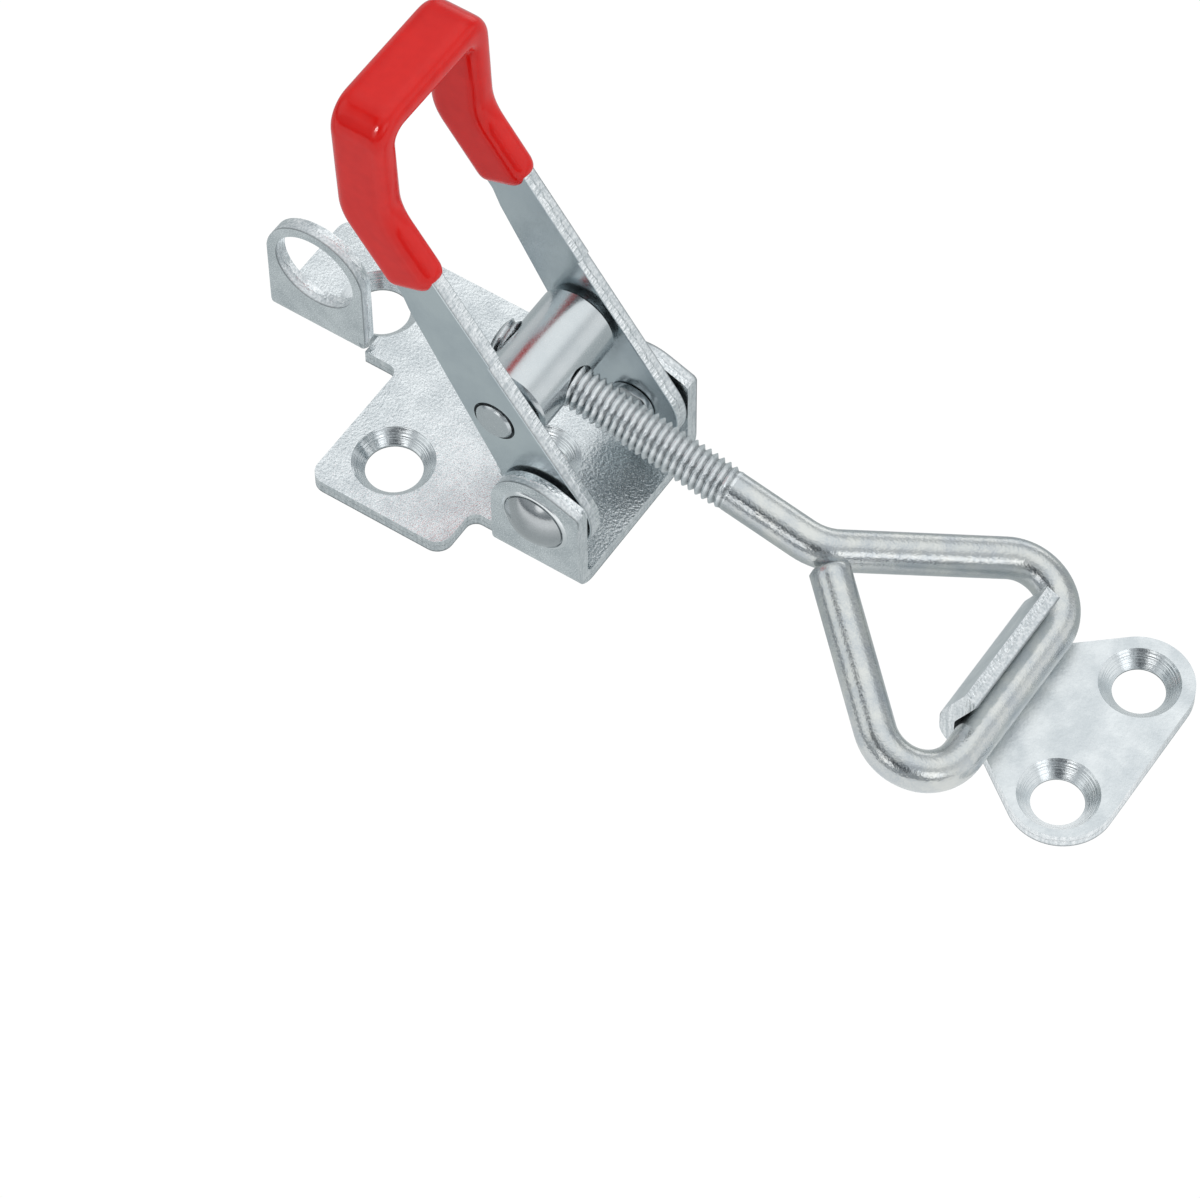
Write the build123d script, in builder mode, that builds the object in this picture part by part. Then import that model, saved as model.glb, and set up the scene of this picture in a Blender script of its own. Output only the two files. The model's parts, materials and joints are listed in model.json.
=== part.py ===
"""Over centre toggle latch with a padlock ear, a red sleeved handle, a triangle hook and a strike.

Millimetres. The origin lies on the mounting plane, straight below the lever's pivot. +X runs towards
the hook, +Z is up from the mounting plane, and the latch's centre plane is Y = 0.
"""
from build123d import *
from math import asin, cos, hypot, radians, sin, tan
import os

# Sheet and folds, shared by the base plate and the strike plate
sheet = 2.1
fold_inner = 1.3
fold_outer = fold_inner + sheet
corner_round = 2.2

# Base plate, seen from above
wing_rear_x = -31.9
wing_front_x = -11.1
wing_near_y = -18.4
wing_far_y = 19.0
relief_y = 11.5
relief_round = 1.5
tongue_rear_x = -52.1
tongue_near_y = 1.9
tongue_root_round = 1.4
screw_hole_radius = 3.8
screw_sink_radius = 5.5
wing_hole_x = -24.0
wing_hole_y = -10.5
front_hole_x = -8.6
tongue_hole_x = -40.0
tongue_hole_y = 9.6

# Pivot and the two front ears that carry it
pivot_z = 10.8
ear_radius = 6.6
ear_corner_rise = 4.8
ear_corner_round = 0.9
ear_inner_y = 11.5
ear_outer_y = ear_inner_y + sheet

# Padlock ear, folded up from the near side of the tongue
lock_ear_front_x = -37.2
lock_ear_radius = 7.5
lock_ear_centre_z = 13.4
lock_hole_radius = 6.1
lock_tear_length = 0.9
lock_tear_height = 3.4

# Lever, a strip folded into a U, with its broad faces upright
lever_sheet = 2.2
arm_outer_y = 11.0
arm_inner_y = arm_outer_y - lever_sheet
arm_end_radius = 6.8
arm_front_angle = 126.2
arm_step_length = 23.0
arm_step_height = 0.35
arm_rear_angle = 118.8
arm_rear_offset = 4.77
arm_rear_length = 32.3
step_to_shoulder = 12.5
strip_width = 7.0
bend_z = 51.9
upper_angle = 92.0
lever_top_z = 68.8
strip_bend_round = 8.0
strip_overrun = 4.0
lever_fold_inner = 1.3

# Vinyl sleeve over the handle
coat = 1.0
sleeve_width = 8.1
sleeve_edge_round = 1.75
sleeve_length = 11.3
sleeve_end_lead = 2.2
sleeve_toe_round = 2.5
sleeve_inner_bend = 1.2

# Barrel nut, carried in the two arms
barrel_x = -7.46
barrel_z = 23.3
barrel_radius = 5.4
barrel_half_length = 8.1
barrel_chamfer = 0.5
trunnion_radius = 2.85
trunnion_clearance = 0.2
trunnion_proud = 0.45
trunnion_chamfer = 0.3
running_clearance = 0.05

# Pivot rivets
rivet_radius = 2.5
rivet_head_radius = 4.25
rivet_head_height = 2.0
rivet_rim_height = 0.35
rivet_tail_radius = 3.4
rivet_tail_height = 1.0
rivet_side_clearance = 0.1

# Hook bolt: a threaded rod bent into a triangle
thread_radius = 2.95
rod_radius = 2.675
bolt_angle = 11.46
bolt_y = -0.3
bolt_tail = 6.6
bolt_thread_end = 29.0
bolt_apex = 42.5
apex_bend = 7.0
triangle_angle = 20.4
triangle_y = 0.05
limb_angle = 39.9
triangle_length = 28.9
triangle_bend = 6.3
limb_gap = 2.4
weld_radius = 1.4

# Strike plate, with the folded lip that the hook pulls on
strike_hole_x = 73.3
strike_y = 2.5
strike_hole_spacing = 19.7
strike_hole_radius = 3.4
strike_sink_radius = 5.25
strike_corner_radius = 7.0
strike_corner_spacing = 18.9
strike_corner_y = 2.9
lip_width = 19.6
lip_outer_x = 56.0
lip_root_x = 62.5
lip_bend_z = 6.0
lip_bend_inner = 1.6
lip_flare_angle = 61.5
lip_flare_length = 6.9

os.makedirs("parts", exist_ok=True)


def folded_strip(plane, points, radii, thickness, side):
    """A face that follows a folded sheet: the outer line through points, and its copy inside."""
    with BuildSketch(plane) as section:
        with BuildLine():
            FilletPolyline(*points, radius=radii)
            offset(amount=thickness, side=side)
        make_face()
    return section.sketch


def direction(angle):
    """The unit step in the XZ plane at an angle above +X."""
    return Vector(cos(radians(angle)), sin(radians(angle)))


# Base plate
flat_near_y = tongue_near_y + fold_outer

with BuildPart() as front_channel:
    with BuildSketch(Plane.YZ.offset(-ear_radius)):
        add(
            folded_strip(
                Plane.XY,
                [
                    (-ear_outer_y, pivot_z + ear_radius),
                    (-ear_outer_y, 0),
                    (ear_outer_y, 0),
                    (ear_outer_y, pivot_z + ear_radius),
                ],
                fold_outer,
                sheet,
                Side.LEFT,
            )
        )
    extrude(amount=2 * ear_radius)
    with BuildSketch(Plane.XZ):
        with Locations((0, pivot_z)):
            Circle(ear_radius)
        with Locations((ear_radius - ear_corner_round, pivot_z + ear_corner_rise - ear_corner_round)):
            Circle(ear_corner_round)
        make_hull()
        Rectangle(2 * ear_radius, pivot_z, align=(Align.CENTER, Align.MIN))
    extrude(amount=ear_outer_y, both=True, mode=Mode.INTERSECT)

with BuildPart() as lock_ear:
    with BuildSketch(Plane.YZ.offset(tongue_rear_x)):
        add(
            folded_strip(
                Plane.XY,
                [
                    (tongue_near_y, lock_ear_centre_z + lock_ear_radius),
                    (tongue_near_y, 0),
                    (flat_near_y + sheet, 0),
                ],
                fold_outer,
                sheet,
                Side.LEFT,
            )
        )
    extrude(amount=lock_ear_front_x - tongue_rear_x)
    lock_ear_x = (tongue_rear_x + lock_ear_front_x) / 2
    lock_ear_width = lock_ear_front_x - tongue_rear_x
    with BuildSketch(Plane.XZ):
        with Locations((lock_ear_x, lock_ear_centre_z)):
            Circle(lock_ear_radius)
        with Locations((lock_ear_x, 0)):
            Rectangle(lock_ear_width, lock_ear_centre_z, align=(Align.CENTER, Align.MIN))
        with Locations((lock_ear_x, lock_ear_centre_z)):
            Circle(lock_hole_radius, mode=Mode.SUBTRACT)
        with Locations((lock_ear_front_x, 0)):
            Rectangle(
                2 * lock_tear_length, 2 * lock_tear_height, mode=Mode.SUBTRACT
            )
    extrude(amount=-(flat_near_y + sheet), mode=Mode.INTERSECT)

with BuildPart() as base_plate:
    with BuildSketch() as plate_outline:
        with BuildLine():
            Polyline(
                (ear_radius, -ear_outer_y + fold_outer),
                (ear_radius, ear_outer_y - fold_outer),
                (-ear_radius, ear_outer_y - fold_outer),
                (-ear_radius, relief_y),
                (wing_front_x, relief_y),
                (wing_front_x, wing_far_y),
                (tongue_rear_x, wing_far_y),
                (tongue_rear_x, flat_near_y),
                (lock_ear_front_x, flat_near_y),
                (lock_ear_front_x, tongue_near_y),
                (wing_rear_x, tongue_near_y),
                (wing_rear_x, wing_near_y),
                (wing_front_x, wing_near_y),
                (wing_front_x, -relief_y),
                (-ear_radius, -relief_y),
                (-ear_radius, -ear_outer_y + fold_outer),
                close=True,
            )
        make_face()
        corners = plate_outline.vertices()
        outer_corners = corners.filter_by(
            lambda v: abs(v.Y - wing_far_y) < 0.01 or abs(v.Y - wing_near_y) < 0.01
        )
        fillet(outer_corners, corner_round)
        relief_corners = plate_outline.vertices().filter_by(
            lambda v: abs(v.X - wing_front_x) < 0.01 and abs(abs(v.Y) - relief_y) < 0.01
        )
        fillet(relief_corners, relief_round)
        root_corner = plate_outline.vertices().filter_by(
            lambda v: abs(v.X - wing_rear_x) < 0.01 and abs(v.Y - tongue_near_y) < 0.01
        )
        fillet(root_corner, tongue_root_round)
    extrude(amount=sheet)
    add(front_channel.part)
    add(lock_ear.part)
    with Locations(
        (wing_hole_x, wing_hole_y, sheet),
        (front_hole_x, 0, sheet),
        (tongue_hole_x, tongue_hole_y, sheet),
    ):
        CounterSinkHole(screw_hole_radius, screw_sink_radius, counter_sink_angle=90)
    with Locations(Plane.XZ.offset(-ear_outer_y)):
        with Locations((0, pivot_z)):
            Hole(rivet_radius, depth=2 * ear_outer_y)

base_plate.part.label = "base_plate"
export_step(base_plate.part, "parts/base_plate.step")

# Lever: the arm's outline in the XZ plane, then the folded U seen along X
pivot = Vector(0, pivot_z)
front_dir = direction(arm_front_angle)
front_normal = Vector(front_dir.Y, -front_dir.X)
rear_dir = direction(arm_rear_angle)
rear_normal = Vector(-rear_dir.Y, rear_dir.X)
front_foot = pivot + front_normal * arm_end_radius
step_low = front_foot + front_dir * arm_step_length
step_high = step_low + front_normal * arm_step_height
centre_start = step_high - front_normal * (strip_width / 2)
bend_point = centre_start + front_dir * ((bend_z - centre_start.Y) / front_dir.Y)
upper_dir = direction(upper_angle)
upper_normal = Vector(upper_dir.Y, -upper_dir.X)
half_turn = radians(arm_front_angle - upper_angle) / 2
mitre = (front_normal + upper_normal).normalized() * (1 / cos(half_turn))
top_centre = bend_point + upper_dir * ((lever_top_z - bend_point.Y) / upper_dir.Y)
fold_reach = lever_top_z  # the U is drawn this far to either side along X, past the whole lever


def strip_outline(width, start, front_lead):
    """Corner points of the handle strip, from its lower end round the in-plane bend to the top."""
    half = width / 2
    return [
        start + front_normal * half - front_dir * front_lead,
        bend_point + mitre * half,
        top_centre + upper_normal * half + upper_dir * strip_overrun,
        top_centre - upper_normal * half + upper_dir * strip_overrun,
        bend_point - mitre * half,
        start - front_normal * half,
    ]


handle = strip_outline(strip_width, centre_start, 0)
shoulder_high = step_high + front_dir * step_to_shoulder - front_normal * strip_width
shoulder_low = pivot + rear_normal * arm_rear_offset + rear_dir * arm_rear_length
rear_chord = (arm_end_radius**2 - arm_rear_offset**2) ** 0.5
rear_start = pivot + rear_normal * arm_rear_offset + rear_dir * rear_chord

with BuildPart() as lever:
    with BuildSketch(Plane.XZ) as arm_outline:
        with BuildLine():
            Polyline(
                pivot,
                front_foot,
                step_low,
                step_high,
                handle[1],
                handle[2],
                handle[3],
                handle[4],
                shoulder_high,
                shoulder_low,
                rear_start,
                pivot,
                close=True,
            )
        make_face()
        with Locations(pivot):
            Circle(arm_end_radius)
    extrude(amount=arm_outer_y, both=True)
    with BuildSketch(Plane.YZ.offset(-fold_reach)):
        add(
            folded_strip(
                Plane.XY,
                [
                    (-arm_outer_y, 0),
                    (-arm_outer_y, lever_top_z),
                    (arm_outer_y, lever_top_z),
                    (arm_outer_y, 0),
                ],
                lever_fold_inner + lever_sheet,
                lever_sheet,
                Side.RIGHT,
            )
        )
    extrude(amount=2 * fold_reach, mode=Mode.INTERSECT)
    with Locations(Plane.XZ.offset(-arm_outer_y)):
        with Locations((0, pivot_z)):
            Hole(rivet_radius + running_clearance, depth=2 * arm_outer_y)
        with Locations((barrel_x, barrel_z)):
            Hole(trunnion_radius + trunnion_clearance, depth=2 * arm_outer_y)

lever.part.label = "lever"
export_step(lever.part, "parts/lever.step")

# Vinyl sleeve: the same strip, wider and thicker, with the lever taken out of it
sleeve_start = bend_point - front_dir * sleeve_length
sleeve_points = strip_outline(sleeve_width, sleeve_start, sleeve_end_lead)

sleeve_outer_y = arm_outer_y + coat
sleeve_inner_y = arm_inner_y - coat
sleeve_top_z = lever_top_z + coat
sleeve_under_z = lever_top_z - lever_sheet - coat
sleeve_bend = lever_fold_inner + lever_sheet + coat

with BuildPart() as grip:
    with BuildSketch(Plane.XZ) as sleeve_outline:
        with BuildLine():
            Polyline(*sleeve_points, close=True)
        make_face()
        bends = sleeve_outline.vertices().filter_by(
            lambda v: hypot(v.X - bend_point.X, v.Y - bend_point.Y) < sleeve_width
        )
        fillet(bends, strip_bend_round)
        fillet(sleeve_outline.vertices().sort_by_distance(sleeve_points[0])[0], sleeve_toe_round)
    extrude(amount=sleeve_outer_y, both=True)
    with BuildSketch(Plane.YZ.offset(-fold_reach)):
        with BuildLine():
            FilletPolyline(
                (-sleeve_outer_y, 0),
                (-sleeve_outer_y, sleeve_top_z),
                (sleeve_outer_y, sleeve_top_z),
                (sleeve_outer_y, 0),
                (sleeve_inner_y, 0),
                (sleeve_inner_y, sleeve_under_z),
                (-sleeve_inner_y, sleeve_under_z),
                (-sleeve_inner_y, 0),
                close=True,
                radius=[0, sleeve_bend, sleeve_bend, 0, 0, sleeve_inner_bend, sleeve_inner_bend, 0],
            )
        make_face()
    extrude(amount=2 * fold_reach, mode=Mode.INTERSECT)
    fillet(grip.edges(), sleeve_edge_round)
    add(lever.part, mode=Mode.SUBTRACT)

grip.part.label = "grip"
export_step(grip.part, "parts/grip.step")

# Barrel nut
bolt_dir = Vector(cos(radians(bolt_angle)), 0, -sin(radians(bolt_angle)))
barrel_centre = Vector(barrel_x, bolt_y, barrel_z)
trunnion_end_y = arm_outer_y + trunnion_proud

with BuildPart() as barrel_nut:
    with BuildSketch(Plane.XZ):
        with Locations((barrel_x, barrel_z)):
            Circle(barrel_radius)
    extrude(amount=barrel_half_length, both=True)
    chamfer(barrel_nut.edges().filter_by(GeomType.CIRCLE), barrel_chamfer)
    with BuildSketch(Plane.XZ):
        with Locations((barrel_x, barrel_z)):
            Circle(trunnion_radius)
    extrude(amount=trunnion_end_y, both=True)
    rims = barrel_nut.edges().group_by(Axis.Y)
    chamfer(rims[0] + rims[-1], trunnion_chamfer)
    with Locations(Plane(origin=barrel_centre, z_dir=bolt_dir)):
        Cylinder(thread_radius + running_clearance, 2 * (barrel_radius + thread_radius), mode=Mode.SUBTRACT)

barrel_nut.part.label = "barrel_nut"
export_step(barrel_nut.part, "parts/barrel_nut.step")

# Pivot rivets
rivet_tail_y = arm_inner_y - rivet_side_clearance
crown_height = rivet_head_height - rivet_rim_height
crown_radius = (rivet_head_radius**2 + crown_height**2) / (2 * crown_height)
crown_half_angle = asin(rivet_head_radius / crown_radius) / 2
crown_y = ear_outer_y + rivet_head_height
pivot_plane = Plane(origin=(0, 0, pivot_z), x_dir=(0, 1, 0), z_dir=(1, 0, 0))

with BuildPart() as near_pivot_rivet:
    with BuildSketch(pivot_plane):
        with BuildLine():
            ThreePointArc(
                (-crown_y, 0),
                (
                    -crown_y + crown_radius * (1 - cos(crown_half_angle)),
                    crown_radius * sin(crown_half_angle),
                ),
                (-ear_outer_y - rivet_rim_height, rivet_head_radius),
            )
            Polyline(
                (-ear_outer_y - rivet_rim_height, rivet_head_radius),
                (-ear_outer_y, rivet_head_radius),
                (-ear_outer_y, rivet_radius),
                (-rivet_tail_y, rivet_radius),
                (-rivet_tail_y, rivet_tail_radius),
                (-rivet_tail_y + rivet_tail_height, rivet_tail_radius),
                (-rivet_tail_y + rivet_tail_height, 0),
                (-crown_y, 0),
            )
        make_face()
    revolve(axis=Axis((0, 0, pivot_z), (0, 1, 0)))

near_pivot_rivet.part.label = "near_pivot_rivet"
export_step(near_pivot_rivet.part, "parts/near_pivot_rivet.step")

with BuildPart() as far_pivot_rivet:
    mirror(near_pivot_rivet.part, about=Plane.XZ)

far_pivot_rivet.part.label = "far_pivot_rivet"
export_step(far_pivot_rivet.part, "parts/far_pivot_rivet.step")

# Hook bolt
triangle_dir = Vector(cos(radians(triangle_angle)), 0, -sin(radians(triangle_angle)))
tail = barrel_centre - bolt_dir * bolt_tail
apex = barrel_centre + bolt_dir * bolt_apex
triangle_origin = Vector(apex.X, triangle_y, apex.Z)
limb_spread = triangle_length * tan(radians(limb_angle))
apex_shift = (triangle_y - bolt_y) / tan(radians(limb_angle))
limb_dir = triangle_dir * cos(radians(limb_angle)) - Vector(0, sin(radians(limb_angle)), 0)

with BuildPart() as hook_bolt:
    with BuildLine() as rod_route:
        FilletPolyline(
            tail,
            apex - bolt_dir * apex_shift,
            triangle_origin + triangle_dir * triangle_length + Vector(0, limb_spread, 0),
            triangle_origin + triangle_dir * triangle_length - Vector(0, limb_spread, 0),
            triangle_origin + limb_dir * limb_gap,
            radius=[apex_bend, triangle_bend, triangle_bend],
        )
    with BuildSketch(Plane(origin=tail, z_dir=bolt_dir)):
        Circle(rod_radius)
    sweep(path=rod_route.wires()[0])
    with BuildSketch(Plane(origin=tail, z_dir=bolt_dir)):
        Circle(thread_radius)
    extrude(amount=bolt_tail + bolt_thread_end)
    with Locations(Location(triangle_origin + triangle_dir * limb_gap)):
        Sphere(weld_radius)

hook_bolt.part.label = "hook_bolt"
export_step(hook_bolt.part, "parts/hook_bolt.step")

# Strike plate
lip_end_x = lip_outer_x + lip_flare_length * cos(radians(lip_flare_angle))
lip_end_z = lip_bend_z + lip_flare_length * sin(radians(lip_flare_angle))

with BuildPart() as strike_plate:
    with BuildSketch(Plane.XZ.offset(-strike_y)):
        add(
            folded_strip(
                Plane.XY,
                [
                    (strike_hole_x, 0),
                    (lip_outer_x, 0),
                    (lip_outer_x, lip_bend_z),
                    (lip_end_x, lip_end_z),
                ],
                [fold_outer, lip_bend_inner + sheet],
                sheet,
                Side.RIGHT,
            )
        )
    extrude(amount=lip_width / 2, both=True)
    with BuildSketch() as strike_outline:
        with Locations((strike_hole_x, strike_corner_y)):
            with GridLocations(0, strike_corner_spacing, 1, 2):
                Circle(strike_corner_radius)
        with Locations((lip_root_x, strike_y)):
            Rectangle(sheet, lip_width, align=(Align.MIN, Align.CENTER))
        make_hull()
    extrude(amount=sheet)
    with Locations((strike_hole_x, strike_y, sheet)):
        with GridLocations(0, strike_hole_spacing, 1, 2):
            CounterSinkHole(strike_hole_radius, strike_sink_radius, counter_sink_angle=90)

strike_plate.part.label = "strike_plate"
export_step(strike_plate.part, "parts/strike_plate.step")
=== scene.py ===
import bmesh
import bpy
import json
from math import acos, atan2, ceil, cos, pi, radians, sin, tan
from mathutils import Matrix, Vector, noise
from mathutils.bvhtree import BVHTree


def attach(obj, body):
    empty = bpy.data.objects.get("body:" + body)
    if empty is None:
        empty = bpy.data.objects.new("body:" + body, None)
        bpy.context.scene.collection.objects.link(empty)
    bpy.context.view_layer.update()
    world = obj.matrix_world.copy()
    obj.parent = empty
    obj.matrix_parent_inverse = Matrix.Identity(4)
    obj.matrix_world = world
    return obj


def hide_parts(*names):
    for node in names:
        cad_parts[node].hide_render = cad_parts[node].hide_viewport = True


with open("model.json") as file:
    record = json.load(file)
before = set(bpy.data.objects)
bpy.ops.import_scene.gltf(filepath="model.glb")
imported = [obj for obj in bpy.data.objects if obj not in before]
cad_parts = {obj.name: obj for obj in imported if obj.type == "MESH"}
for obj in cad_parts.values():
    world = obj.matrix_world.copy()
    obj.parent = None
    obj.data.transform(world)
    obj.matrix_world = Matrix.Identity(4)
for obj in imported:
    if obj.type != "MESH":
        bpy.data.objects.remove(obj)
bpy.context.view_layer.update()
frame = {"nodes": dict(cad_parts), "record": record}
mm = 0.001
mergeDistance = 0.002 * mm
flatAngle = radians(0.6)
normalWeight = 80
scene = bpy.context.scene
print("frame loaded:", sorted(frame["nodes"]))


# Small tools that every piece uses

def mountAt(name):
    for mount in frame["record"]["mounts"]:
        if mount["name"] == name:
            return mount
    raise KeyError(name)


def jointAt(name):
    for joint in frame["record"]["behaviour"]["joints"]:
        if joint["name"] == name:
            return Vector(joint["pos_m"])
    raise KeyError(name)


def mergedCopy(nodeName):
    # the CAD mesh is loose triangles, so a copy of it is merged and its flat faces joined
    bm = bmesh.new()
    bm.from_mesh(frame["nodes"][nodeName].data)
    bmesh.ops.remove_doubles(bm, verts=bm.verts[:], dist=mergeDistance)
    bmesh.ops.dissolve_limit(bm, angle_limit=flatAngle, verts=bm.verts[:], edges=bm.edges[:],
                             use_dissolve_boundaries=False)
    bmesh.ops.dissolve_degenerate(bm, dist=mergeDistance, edges=bm.edges[:])
    return bm


def softenEdges(bm, width, segments, wanted=None, sharpAngle=40):
    # a small round on each real edge, so that it catches the light as a plated edge does
    sharp = [e for e in bm.edges if len(e.link_faces) == 2 and e.calc_face_angle() > radians(sharpAngle)
             and (wanted is None or wanted(e))]
    bmesh.ops.bevel(bm, geom=sharp, offset=width, offset_type="OFFSET", affect="EDGES", segments=segments,
                    profile=0.5, clamp_overlap=True, material=-1)


def finishPiece(bm, name, materials, body, replaced=(), creaseAngle=32, weighted=True):
    for face in bm.faces:
        face.smooth = True
    for edge in bm.edges:
        edge.smooth = not (len(edge.link_faces) == 2 and edge.calc_face_angle() > radians(creaseAngle))
    mesh = bpy.data.meshes.new(name)
    bm.to_mesh(mesh)
    bm.free()
    piece = bpy.data.objects.new(name, mesh)
    scene.collection.objects.link(piece)
    for material in materials:
        mesh.materials.append(material)
    if weighted:
        modifier = piece.modifiers.new("evenNormals", "WEIGHTED_NORMAL")
        modifier.weight = normalWeight
        modifier.keep_sharp = True
    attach(piece, body)
    if replaced:
        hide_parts(*replaced)
    print("piece", name, "faces", len(mesh.polygons))
    return piece


# Shared surface effects, as node groups

def newGroup(name, inputs, outputs):
    group = bpy.data.node_groups.new(name, "ShaderNodeTree")
    for label, kind, value in inputs:
        socket = group.interface.new_socket(label, in_out="INPUT", socket_type=kind)
        if value is not None:
            socket.default_value = value
    for label, kind in outputs:
        group.interface.new_socket(label, in_out="OUTPUT", socket_type=kind)
    return group, group.nodes.new("NodeGroupInput"), group.nodes.new("NodeGroupOutput")


def addNode(tree, kind, links=(), **settings):
    # one node, its settings, and what feeds its inputs: (input name or index, source socket or value)
    node = tree.nodes.new(kind)
    for key, value in settings.items():
        setattr(node, key, value)
    for target, source in links:
        if isinstance(source, bpy.types.NodeSocket):
            tree.links.new(source, node.inputs[target])
        else:
            node.inputs[target].default_value = source
    return node


def calculate(tree, operation, *values):
    return addNode(tree, "ShaderNodeMath", enumerate(values), operation=operation).outputs[0]


def noiseField(tree, vector, scale, detail, roughness=0.5):
    node = addNode(tree, "ShaderNodeTexNoise", [("Vector", vector), ("Scale", scale), ("Detail", detail),
                                                ("Roughness", roughness)])
    return node.outputs["Fac"]


def mixValues(tree, share, first, second):
    # the mix node's number sockets: 2 and 3 in, 0 out
    node = addNode(tree, "ShaderNodeMix", [(0, share), (2, first), (3, second)], data_type="FLOAT")
    return node.outputs[0]


def mixColours(tree, share, first, second):
    # the mix node's colour sockets: 6 and 7 in, 2 out
    node = addNode(tree, "ShaderNodeMix", [(0, share), (6, first), (7, second)], data_type="RGBA")
    return node.outputs[2]


def mapValue(tree, source, low, high, fromLow=0.3, fromHigh=0.7):
    node = addNode(tree, "ShaderNodeMapRange",
                   [("Value", source), ("From Min", fromLow), ("From Max", fromHigh),
                    ("To Min", low), ("To Max", high)])
    return node.outputs["Result"]


skin = {"finer": 2.3, "dimpleDetail": 3.0, "dimpleRoughness": 0.55, "cloudDetail": 4.0,
        "cloudRoughness": 0.6, "speckDetail": 2.0}


def orangePeelGroup():
    # plated metal: a fine dimpled skin, and a tone that runs from broad clouds to fine specks
    group, given, result = newGroup(
        "orangePeel",
        [("Vector", "NodeSocketVector", None), ("Dimple Size", "NodeSocketFloat", 1400.0),
         ("Cloud Size", "NodeSocketFloat", 180.0), ("Speckle", "NodeSocketFloat", 0.4)],
        [("Height", "NodeSocketFloat"), ("Clouds", "NodeSocketFloat"), ("Specks", "NodeSocketFloat")])
    place = given.outputs["Vector"]
    fineSize = calculate(group, "MULTIPLY", given.outputs["Dimple Size"], skin["finer"])
    dimples = noiseField(group, place, given.outputs["Dimple Size"], skin["dimpleDetail"],
                         skin["dimpleRoughness"])
    clouds = noiseField(group, place, given.outputs["Cloud Size"], skin["cloudDetail"],
                        skin["cloudRoughness"])
    specks = noiseField(group, place, fineSize, skin["speckDetail"])
    group.links.new(dimples, result.inputs["Height"])
    group.links.new(mixValues(group, given.outputs["Speckle"], clouds, specks), result.inputs["Clouds"])
    group.links.new(specks, result.inputs["Specks"])
    return group


shear = {"lineDetail": 2.0, "grainDetail": 3.0, "grainSize": 3400.0, "raggedSize": 900.0,
         "raggedReach": 0.45, "tornFrom": 0.40, "tornTo": 0.52, "tornStep": 0.6, "burrFrom": 0.84,
         "burrTo": 0.96, "burrCover": 0.8}


def shearGroup():
    # a punched edge, by the depth through the sheet: a burnished band with fine lines across the sheet,
    # a ragged line, then the torn band
    group, given, result = newGroup(
        "shearMarks",
        [("Vector", "NodeSocketVector", None), ("Stretch", "NodeSocketVector", (1.0, 0.1, 1.0)),
         ("Line Size", "NodeSocketFloat", 3200.0), ("Depth", "NodeSocketFloat", 0.5)],
        [("Height", "NodeSocketFloat"), ("Bright", "NodeSocketFloat"), ("Torn", "NodeSocketFloat")])
    stretched = addNode(group, "ShaderNodeVectorMath",
                        [(0, given.outputs["Vector"]), (1, given.outputs["Stretch"])], operation="MULTIPLY")
    lines = noiseField(group, stretched.outputs[0], given.outputs["Line Size"], shear["lineDetail"])
    grain = noiseField(group, given.outputs["Vector"], shear["grainSize"], shear["grainDetail"])
    ragged = noiseField(group, given.outputs["Vector"], shear["raggedSize"], shear["grainDetail"])
    shift = calculate(group, "MULTIPLY_ADD", ragged, shear["raggedReach"], -shear["raggedReach"] / 2)
    place = calculate(group, "ADD", given.outputs["Depth"], shift)
    torn = mapValue(group, place, 0.0, 1.0, shear["tornFrom"], shear["tornTo"])
    rough = mixValues(group, torn, lines, grain)
    step = calculate(group, "MULTIPLY_ADD", torn, -shear["tornStep"], rough)
    group.links.new(step, result.inputs["Height"])
    group.links.new(calculate(group, "MULTIPLY", lines, grain), result.inputs["Bright"])
    group.links.new(torn, result.inputs["Torn"])
    return group


rings = {"wobble": 0.9, "detail": 3.0}


def toolRingsGroup():
    # turned or countersunk metal: close rings about an axis, by the radius that is handed in
    group, given, result = newGroup(
        "toolRings",
        [("Radius", "NodeSocketFloat", 0.0), ("Ring Pitch", "NodeSocketFloat", 0.00012)],
        [("Height", "NodeSocketFloat")])
    count = calculate(group, "DIVIDE", given.outputs["Radius"], given.outputs["Ring Pitch"])
    wobble = addNode(group, "ShaderNodeTexNoise",
                     [("W", count), ("Scale", rings["wobble"]), ("Detail", rings["detail"])],
                     noise_dimensions="1D")
    group.links.new(wobble.outputs["Fac"], result.inputs["Height"])
    return group


orangePeel = orangePeelGroup()
shearMarks = shearGroup()
toolRings = toolRingsGroup()
print("node groups made")


# Materials

def newMaterial(name):
    material = bpy.data.materials.new(name)
    material.use_nodes = True
    tree = material.node_tree
    return material, tree, tree.nodes["Principled BSDF"]


def useGroup(tree, group, links):
    return addNode(tree, "ShaderNodeGroup", links, node_tree=group).outputs


def toneRamp(tree, source, stops):
    ramp = addNode(tree, "ShaderNodeValToRGB", [("Fac", source)])
    elements = ramp.color_ramp.elements
    while len(elements) < len(stops):
        elements.new(0.5)
    for element, (place, colour) in zip(elements, stops):
        element.position = place
        element.color = (*colour, 1.0)
    return ramp.outputs["Color"]


# the part of a noise's range that a pair of tones is spread over
sheetSpan, cutSpan, turnedSpan = (0.40, 0.60), (0.14, 0.36), (0.3, 0.7)


def toneOver(tree, source, values, span):
    return toneRamp(tree, source, [(span[0], values["dark"]), (span[1], values["light"])])


def bumpFrom(tree, height, values, share=1.0, under=None):
    links = [("Height", height), ("Strength", values["bump"] * share), ("Distance", values["bumpDepth"])]
    if under is not None:
        links.append(("Normal", under))
    return addNode(tree, "ShaderNodeBump", links).outputs["Normal"]


def objectVector(tree):
    return addNode(tree, "ShaderNodeTexCoord").outputs["Object"]


def attributeValue(tree, name):
    return addNode(tree, "ShaderNodeAttribute", attribute_name=name).outputs["Fac"]


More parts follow.
